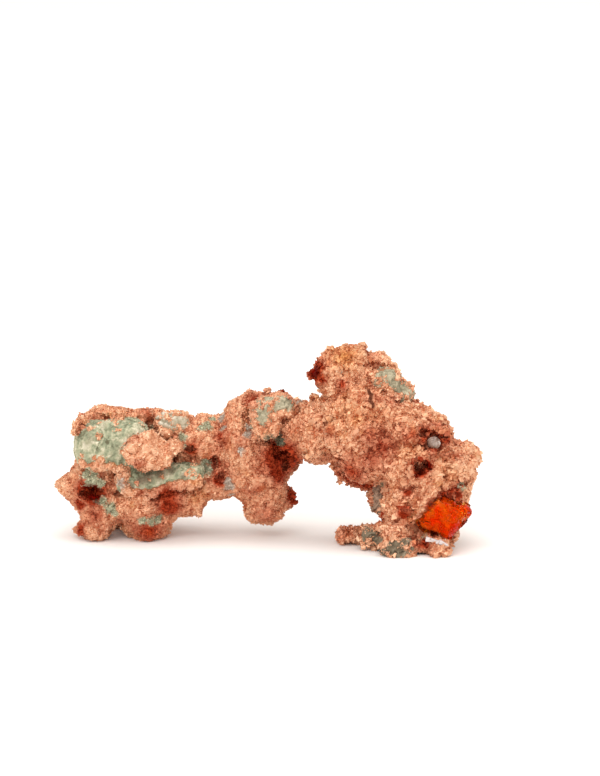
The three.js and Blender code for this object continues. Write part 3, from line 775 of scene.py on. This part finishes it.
# %% Grain shapes
def grain_shapes(count, seed):
    """A few tiny angular crystals, cubes with cut corners and rough flakes, each pulled out of true."""
    group = bpy.data.collections.new("grain_shapes")
    bpy.context.scene.collection.children.link(group)
    draw = random.Random(seed)
    for i in range(count):
        if i % 2 == 0:
            grain = added(bpy.ops.mesh.primitive_cube_add, size=1.4)
        else:
            grain = added(bpy.ops.mesh.primitive_cone_add, vertices=5, radius1=1.0, radius2=0.4, depth=1.6)
        squash = draw.choice((0.45, 0.7, 1.0))
        for corner in grain.data.vertices:
            corner.co *= draw.uniform(0.7, 1.3)
            corner.co += Vector([draw.uniform(-0.22, 0.22) for _ in range(3)])
            corner.co.z *= squash
        grain.name = f"grain_{i}"
        grain.users_collection[0].objects.unlink(grain)
        group.objects.link(grain)
    return group


shapes = grain_shapes(10, 7)
print("shapes:", [triangles(shape) for shape in shapes.objects], "triangles")

# %% [markdown]
# One recipe scatters a crust of them over any skin. It keeps them apart by a set gap, so the
# crust is even, and most grains are small. Each grain keeps the attributes of the skin under it
# and gets a random tone of its own, so that the finish can tint every crystal apart.

# %% Crust recipe
def grow_grains(source, name, gap, small, large, seed, choose=None):
    """A crust of crystals on a skin: spacing and sizes in mm. choose picks where they grow."""
    crust = bpy.data.objects.new(name, source.data.copy())
    crust.data.name = name
    bpy.context.scene.collection.objects.link(crust)
    tree, add, geometry = geometry_tree(name)
    place = add("GeometryNodeInputPosition")
    chosen = choose(add, place) if choose else True
    points = add("GeometryNodeDistributePointsOnFaces", {
        "Mesh": geometry, "Selection": chosen, "Distance Min": gap * MM,
        "Density Max": 3.0 / (gap * MM) ** 2, "Seed": seed}, distribute_method="POISSON")
    draw = add("FunctionNodeRandomValue", {"Min": 0.0, "Max": 1.0, "Seed": seed + 1}, data_type="FLOAT")
    skewed = add("ShaderNodeMath", {0: draw, 1: 1.8}, "POWER")
    size = add("ShaderNodeMath", {0: skewed, 1: (large - small) * MM, 2: small * MM}, "MULTIPLY_ADD")
    turn = add("FunctionNodeRandomValue", {"Min": (0, 0, 0), "Max": (math.tau,) * 3, "Seed": seed + 2},
               data_type="FLOAT_VECTOR")
    rotation = add("FunctionNodeEulerToRotation", {0: turn})
    kinds = add("GeometryNodeCollectionInfo", {"Collection": shapes, "Separate Children": True,
                                               "Reset Children": True})
    placed = add("GeometryNodeInstanceOnPoints", {
        "Points": points.outputs["Points"], "Instance": kinds, "Pick Instance": True,
        "Rotation": rotation, "Scale": size})
    tone = add("FunctionNodeRandomValue", {"Min": 0.0, "Max": 1.0, "Seed": seed + 3}, data_type="FLOAT")
    toned = add("GeometryNodeStoreNamedAttribute", {"Geometry": placed, "Name": "tone", "Value": tone},
                domain="INSTANCE")
    real = add("GeometryNodeRealizeInstances", {"Geometry": toned})
    finish_tree(tree, crust, real, place, 0.0)
    return crust


# %% [markdown]
# Two ways to choose where a crust grows. The copper is covered in slices, so that no piece
# grows too heavy, and the crack and the sunken beds stay bare. On a rock only the rim has
# copper, where the metal has started to creep over it.

# %% Where crusts grow
def between(low_x, high_x, clear=0.3):
    """Chooses a slice of the copper, off the crack and the beds. A low clear keeps further off."""
    def choose(add, place):
        x = add("ShaderNodeSeparateXYZ", {0: place}).outputs["X"]
        crack, sunk = [add("GeometryNodeInputNamedAttribute", {"Name": name}) for name in ("crack", "sunk")]
        chosen = True
        for value, side, limit in ((x, "GREATER_EQUAL", low_x * MM), (x, "LESS_THAN", high_x * MM),
                                   (crack, "LESS_THAN", clear), (sunk, "LESS_THAN", BED_OVERLAP)):
            passed = add("FunctionNodeCompare", {0: value, 1: limit}, side)
            chosen = add("FunctionNodeBooleanMath", {0: chosen, 1: passed}, "AND")
        return chosen
    return choose


def near_copper(reach, patch):
    """Chooses the rim of a rock that lies against the copper, wider in some patches than others."""
    def choose(add, place):
        body = add("GeometryNodeObjectInfo", {"Object": copper}).outputs["Geometry"]
        sunk = add("GeometryNodeInputNamedAttribute", {"Name": "sunk"})
        hidden = add("FunctionNodeCompare", {0: sunk, 1: BED_OVERLAP}, "GREATER_THAN")
        shown = add("GeometryNodeDeleteGeometry", {"Geometry": body, "Selection": hidden})
        far = add("GeometryNodeProximity", {0: shown}).outputs["Distance"]
        patches = add("ShaderNodeTexNoise", {"Vector": place, "Scale": 1 / (patch * MM), "Detail": 2.0})
        limit = add("ShaderNodeMapRange", {"Value": patches, "From Min": 0.42, "From Max": 0.68,
                                           "To Min": 0.0, "To Max": reach * MM})
        return add("FunctionNodeCompare", {0: far, 1: limit}, "LESS_THAN")
    return choose


# %% [markdown]
# The copper gets a crust of fine grains all over. On the coarse right half, larger flakes lie
# among them and catch the light like crumpled foil. The rocks get the same treatment in stone:
# fine crumbs that break up their surface.

# %% Crusts, flakes and crumbs
crusts = [
    grow_grains(copper, f"copper_grains_{i + 1}", gap, small, large, 10 * i, between(low_x, high_x))
    for i, (low_x, high_x, gap, small, large) in enumerate([
        (-20, -12.5, 0.165, 0.06, 0.15), (-12.5, -8, 0.165, 0.06, 0.15), (-8, -1.5, 0.165, 0.06, 0.15),
        (-1.5, 4, 0.17, 0.06, 0.15), (4, 8, 0.18, 0.05, 0.15), (8, 12, 0.18, 0.05, 0.15),
        (12, 20, 0.19, 0.05, 0.15)])
]
creeping = [
    grow_grains(rock, "copper_on_" + rock.name, 0.14, 0.05, 0.14, 60 + 10 * i, near_copper(reach, 0.8))
    for i, (rock, reach) in enumerate(zip(
        stones + [quartz_cap, calcite, bead], (0.35, 0.4, 0.5, 0.25, 0.5, 0.4, 0.22, 0.35)))
]
flakes = [
    grow_grains(copper, f"copper_flakes_{i + 1}", 0.42, 0.16, 0.30, 200 + 10 * i,
                between(low_x, high_x, 0.02))
    for i, (low_x, high_x) in enumerate([(2, 9), (9, 20)])
]
crumbs = [
    grow_grains(rock, "crumbs_of_" + rock.name, 0.16, 0.04, 0.09, 300 + 10 * i)
    for i, rock in enumerate(stones)
]
for shape in list(shapes.objects):
    bpy.data.objects.remove(shape)
bpy.data.collections.remove(shapes)

# %% [markdown]
# ## The copper's finish
#
# Each finish is made of real-size patterns on Object coordinates, and of the attributes
# painted and measured above. Raw copper is pink-orange. Its colour is painted almost white
# where a point stands out and darker in the creases, as painted highlight and painted shade,
# from how far each point stands out. It goes red under cuprite, which is partly painted shade
# in hollows and under ledges. A random tone per crystal gives the sparkle. A roughness near the
# middle blurs the room in each face to a soft glint.

# %% Native copper
def start_paint(name, metallic, roughness):
    """A new finish, a short way to add nodes to it, and its main shader."""
    paint = bpy.data.materials.new(name)
    paint.use_nodes = True
    add = partial(add_node, paint.node_tree)
    shader = paint.node_tree.nodes["Principled BSDF"]
    shader.inputs["Metallic"].default_value = metallic
    shader.inputs["Roughness"].default_value = roughness
    return paint, add, shader


def link(paint, node, shader, name):
    paint.node_tree.links.new(next(s for s in node.outputs if s.enabled), shader.inputs[name])


def native_copper():
    """Raw copper: bright pink-orange metal, with painted shade in the creases, and cuprite red, partly
    painted shade, where sheltered.
    """
    paint, add, shader = start_paint("raw_crystalline_copper", 1.0, 0.56)
    where = add("ShaderNodeTexCoord").outputs["Object"]
    tone, stand, rise, red, gold, pale, crack = [
        add("ShaderNodeAttribute", attribute_name=name).outputs["Fac"]
        for name in ("tone", "stand", "rise", "red", "gold", "pale", "crack")]
    # painted shade in the creases and painted highlight where a point stands out, close by and over a wider
    # patch
    painted_shade_and_highlight = add("ShaderNodeMapRange", {"Value": stand, "From Min": -0.10 * MM, "From Max": 0.08 * MM})
    broad_painted_shade_and_highlight = add("ShaderNodeMapRange", {"Value": rise, "From Min": -0.45 * MM, "From Max": 0.25 * MM})
    light = 0.0
    for part, share in ((painted_shade_and_highlight, 0.35), (broad_painted_shade_and_highlight, 0.35), (tone, 0.22), (pale, 0.25)):
        light = add("ShaderNodeMath", {0: part, 1: share, 2: light}, "MULTIPLY_ADD")
    base = add("ShaderNodeValToRGB", {0: light}, stops=[
        (0.0, "#c88668"), (0.35, "#d69a78"), (0.65, "#deac8a"), (0.85, "#e3b696"), (1.0, "#e7c0a1")])
    mottle = add("ShaderNodeTexNoise", {"Vector": where, "Scale": 1 / (2.4 * MM), "Detail": 3.0})
    blush = add("ShaderNodeMapRange", {"Value": mottle, "From Min": 0.52, "From Max": 0.75, "To Max": 0.45})
    redness = add("ShaderNodeMath", {0: red, 1: blush}, "MAXIMUM")
    # dark cuprite, and painted shade in hollows and under ledges, multiplies the metal's own colour
    cuprite_and_painted_shade = add("ShaderNodeValToRGB", {0: redness}, stops=[
        (0.0, "#ffffff"), (0.5, "#ca725a"), (1.0, "#74160e")])
    shade = add("ShaderNodeMix", {"Factor": 1.0, "A": base, "B": cuprite_and_painted_shade}, data_type="RGBA",
                blend_type="MULTIPLY")
    flecks = add("ShaderNodeTexNoise", {"Vector": where, "Scale": 1 / (1.2 * MM), "Detail": 2.0})
    golden = add("ShaderNodeMapRange", {"Value": flecks, "From Min": 0.56, "From Max": 0.72, "To Max": 0.5})
    gold = add("ShaderNodeMath", {0: gold, 1: golden}, "MAXIMUM")
    shade = add("ShaderNodeMix", {"Factor": gold, "A": shade, "B": linear("#ecd098")},
                data_type="RGBA", blend_type="MULTIPLY")
    # painted shade: the inside of the crack is painted dark brown
    painted_crack_shade = add("ShaderNodeMapRange", {"Value": crack, "From Min": 0.1, "From Max": 0.5})
    shade = add("ShaderNodeMix", {"Factor": painted_crack_shade, "A": shade, "B": linear("#6a3c2a")}, data_type="RGBA")
    # crumbled rock on the metal, with ragged edges
    ragged = add("ShaderNodeTexNoise", {"Vector": where, "Scale": 1 / (0.45 * MM), "Detail": 3.0,
                                        "Roughness": 0.7})
    bare = 1.0
    for name, dull, bright in (("green_dust", "#8f8e72", "#c6c3a4"), ("pale_dust", "#9c8878", "#c8baac"),
                               ("dark_dust", "#46432f", "#827a5e")):
        amount = add("ShaderNodeAttribute", attribute_name=name).outputs["Fac"]
        rough = add("ShaderNodeMath", {0: ragged, 1: 1.6, 2: amount}, "MULTIPLY_ADD")
        share = add("ShaderNodeMapRange", {"Value": rough, "From Min": 1.20, "From Max": 1.50})
        grit = add("ShaderNodeMix", {"Factor": tone, "A": linear(dull), "B": linear(bright)},
                   data_type="RGBA")
        shade = add("ShaderNodeMix", {"Factor": share, "A": shade, "B": grit}, data_type="RGBA")
        bare = add("ShaderNodeMath", {0: bare, 1: share}, "SUBTRACT")
    link(paint, shade, shader, "Base Color")
    # stone doesn't shine like metal
    metal = add("ShaderNodeMath", {0: bare, 1: 0.0}, "MAXIMUM")
    link(paint, metal, shader, "Metallic")
    return paint


copper_paint = native_copper()

# %% [markdown]
# ## The rocks' finishes
#
# Altered basalt is dull and sandy. Its minerals weather to sage green, beige and brown in
# mottles of about a millimetre, which a noise pattern through a colour ramp gives, with painted
# shade in the pits and small dark flecks of crystal. One recipe serves all the stones: only the
# ramp and the gloss change. The flecks are drawn coarser than real ones, or they would vanish.

# %% Rock finishes
def rock_paint(name, stops, roughness=0.85):
    """Mottles of about a millimetre, painted shade in the pits and dark flecks. Stops are the ramp from pit
    to tip.
    """
    paint, add, shader = start_paint(name, 0.0, roughness)
    where = add("ShaderNodeTexCoord").outputs["Object"]
    stand, soil = [add("ShaderNodeAttribute", attribute_name=name).outputs["Fac"]
                   for name in ("stand", "soil")]
    mottle = add("ShaderNodeTexNoise", {"Vector": where, "Scale": 1 / (1.3 * MM), "Detail": 4.0,
                                        "Roughness": 0.65})
    # painted shade in the pits and painted highlight on the tops, from how far each point stands out
    painted_shade_and_highlight = add("ShaderNodeMapRange", {"Value": stand, "From Min": -0.08 * MM, "From Max": 0.06 * MM,
                                      "To Min": -0.25, "To Max": 0.15})
    light = add("ShaderNodeMath", {0: mottle, 1: painted_shade_and_highlight}, "ADD")
    base = add("ShaderNodeValToRGB", {0: light}, stops=stops)
    flecks = add("ShaderNodeTexVoronoi", {"Vector": where, "Scale": 1 / (0.55 * MM)})
    dark = add("ShaderNodeMapRange", {"Value": flecks, "From Min": 0.22, "From Max": 0.10, "To Max": 0.5})
    shade = add("ShaderNodeMix", {"Factor": dark, "A": base, "B": linear("#6f6a50")}, data_type="RGBA")
    # painted brown shade in the hollows, only on a rock that has it painted
    mottled_brown_shade = add("ShaderNodeMath", {0: mottle, 1: 1.4, 2: soil}, "MULTIPLY_ADD")
    amount = add("ShaderNodeMapRange", {"Value": mottled_brown_shade, "From Min": 0.85, "From Max": 1.5, "To Max": 0.8})
    shade = add("ShaderNodeMix", {"Factor": amount, "A": shade, "B": linear("#5e4a36")}, data_type="RGBA")
    link(paint, shade, shader, "Base Color")
    return paint


# soft and dusty: the eye reads a pale sage stone, with no gloss at all
green_paint = rock_paint("altered_green_basalt", [
    (0.30, "#68644a"), (0.44, "#8f9478"), (0.55, "#b2ae90"), (0.70, "#dcd4bc")])
# the same stone less altered, greyer and smoother in tone
grey_paint = rock_paint("altered_grey_basalt", [
    (0.25, "#5a5540"), (0.45, "#928970"), (0.6, "#b0a68b"), (0.8, "#cdc3ac")])
# stained by soil where it stands on the ground
earthy_paint = rock_paint("earthy_brown_basalt", [
    (0.25, "#3f3224"), (0.45, "#6a5b46"), (0.6, "#877964"), (0.8, "#a89a84")])
# iron-stained, nearly as dark as the shadows of the leg
brown_paint = rock_paint("iron_stained_basalt", [
    (0.25, "#54402f"), (0.45, "#836652"), (0.6, "#a3856f"), (0.8, "#c4ab94")])
# cloudy and a little glossy, so it looks wet beside the stone
quartz_paint = rock_paint("milky_quartz", [
    (0.25, "#82765e"), (0.45, "#a4987f"), (0.6, "#beb29c"), (0.8, "#dad0bc")], 0.4)
# smoky and polished, with a bright small highlight
pebble_paint = rock_paint("smoky_quartz", [
    (0.30, "#4e3a32"), (0.45, "#7c6458"), (0.55, "#a08c82"), (0.70, "#e4dad2")], 0.2)

# %% [markdown]
# ## The calcite's finish
#
# The crystal is truly see-through: light enters, loses its blue and some green to iron in the
# calcite, meets the leaf of copper and comes back orange. Thick parts go a deeper red, which a
# painted colour can't do. Its skin is etched and hardly mirrors the room: a tint makes what it
# does mirror warm, since a white sheen would lay a pale haze over so small a crystal.

# %% Calcite finish
def clear_calcite():
    """Clear orange calcite: light is filtered by iron in it, and comes back off the metal."""
    paint, add, shader = start_paint("clear_calcite", 0.0, 0.15)
    shader.inputs["Specular IOR Level"].default_value = 0.03
    shader.inputs["Specular Tint"].default_value = linear("#a03808")
    shader.inputs["Transmission Weight"].default_value = 1.0
    shader.inputs["IOR"].default_value = 1.6
    shader.inputs["Base Color"].default_value = linear("#ffffff")
    inside = add("ShaderNodeVolumeAbsorption", {"Color": (1.0, 0.75, 0.02, 1.0), "Density": 3000.0})
    link(paint, inside, paint.node_tree.nodes["Material Output"], "Volume")
    return paint


def sealed_copper():
    """A sheet of clean copper that never met the air, bright orange-red through the crystal."""
    paint, add, shader = start_paint("clean_sealed_copper", 1.0, 0.8)
    where = add("ShaderNodeTexCoord").outputs["Object"]
    mottle = add("ShaderNodeTexNoise", {"Vector": where, "Scale": 1 / (0.9 * MM), "Detail": 2.0})
    base = add("ShaderNodeValToRGB", {0: mottle}, stops=[
        (0.35, "#ff7830"), (0.5, "#ff9040"), (0.65, "#ffae5c")])
    link(paint, base, shader, "Base Color")
    return paint


calcite_paint = clear_calcite()
leaf_paint = sealed_copper()
# fresh cleavage: white and shiny, as a split crystal's edge scatters all the light
splinter_paint = rock_paint("white_cleavage_faces", [
    (0.25, "#a89c9a"), (0.45, "#c6bbb9"), (0.6, "#d8cecb"), (0.8, "#e8dedc")], 0.2)


# %% [markdown]
# ## Finishes on their pieces
#
# Every piece gets its finish and rides on the one body of the nugget. A piece that takes the
# place of a solid says which one, and that solid is hidden.

# %% Finishes on their pieces
def dress(piece, paint, slot, *replaced):
    piece.data.materials.clear()
    piece.data.materials.append(paint)
    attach(piece, "root")
    if replaced:
        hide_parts(*replaced)


dress(copper, copper_paint, "native_copper", "copper_mass")
for crust in crusts + creeping + flakes:
    dress(crust, copper_paint, "native_copper")
for rock, crumb, paint, slot, node in zip(
        stones, crumbs, (green_paint, grey_paint, grey_paint, brown_paint, earthy_paint),
        ("green_matrix", "grey_matrix", "grey_matrix", "brown_matrix", "grey_matrix"),
        ("green_matrix_left", "matrix_band_middle", "matrix_upper_right", "matrix_leg_right",
         "matrix_foot_right")):
    dress(rock, paint, slot, node)
    dress(crumb, paint, slot)
dress(quartz_cap, quartz_paint, "milky_quartz", "quartz_cap_left")
dress(bead, pebble_paint, "milky_quartz", "quartz_bead")
dress(calcite, calcite_paint, "clear_calcite", "calcite_crystal")
dress(leaf, leaf_paint, "native_copper")
dress(splinters, splinter_paint, "milky_quartz")

print("copper pieces:", 1 + len(crusts + creeping + flakes), "stone crusts:", len(crumbs))
